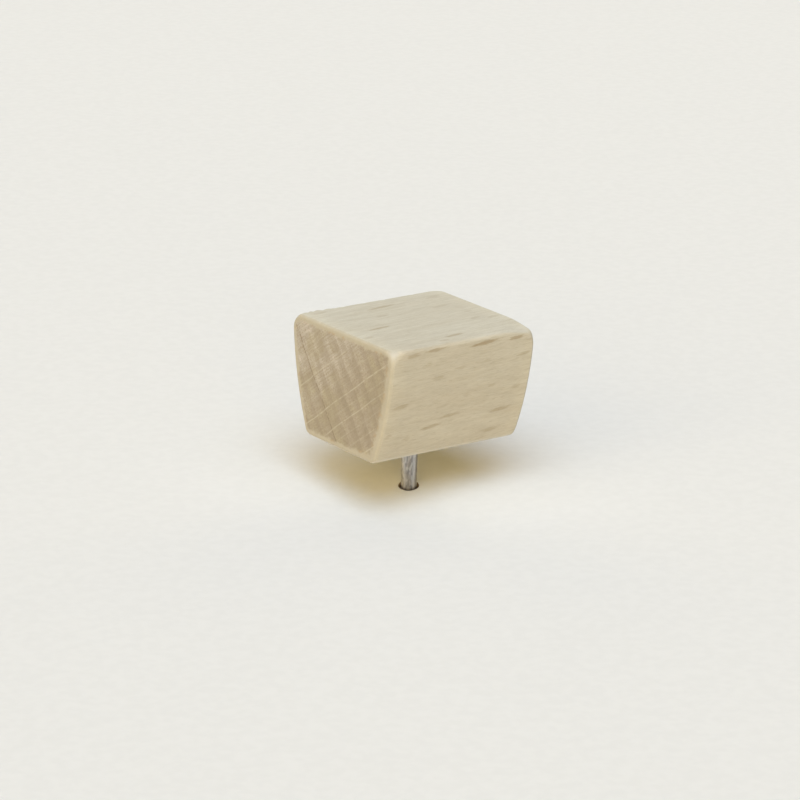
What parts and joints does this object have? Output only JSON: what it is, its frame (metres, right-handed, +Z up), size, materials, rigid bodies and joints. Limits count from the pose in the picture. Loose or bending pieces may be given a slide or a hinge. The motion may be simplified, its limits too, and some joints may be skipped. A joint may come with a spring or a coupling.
{
  "type": "push pin",
  "caption": "Push pin with a wedge-shaped beech head, wide on top and narrow below, on a straight steel pin with a ground point, for holding paper on a board.",
  "frame": {"origin": "middle of the head's underside, where the pin leaves the wood", "axes": "+Z up through the head, away from the pin's point; X along the grain, parallel to the long edges; Y across the head's wide flat top"},
  "size_m": [0.013, 0.0126, 0.019],
  "materials": {
    "beech": "sanded, unlacquered",
    "steel": "drawn wire, ground point"
  },
  "bodies": {
    "root": {"wooden_head": "beech", "steel_pin": "steel"}
  },
  "joints": []
}
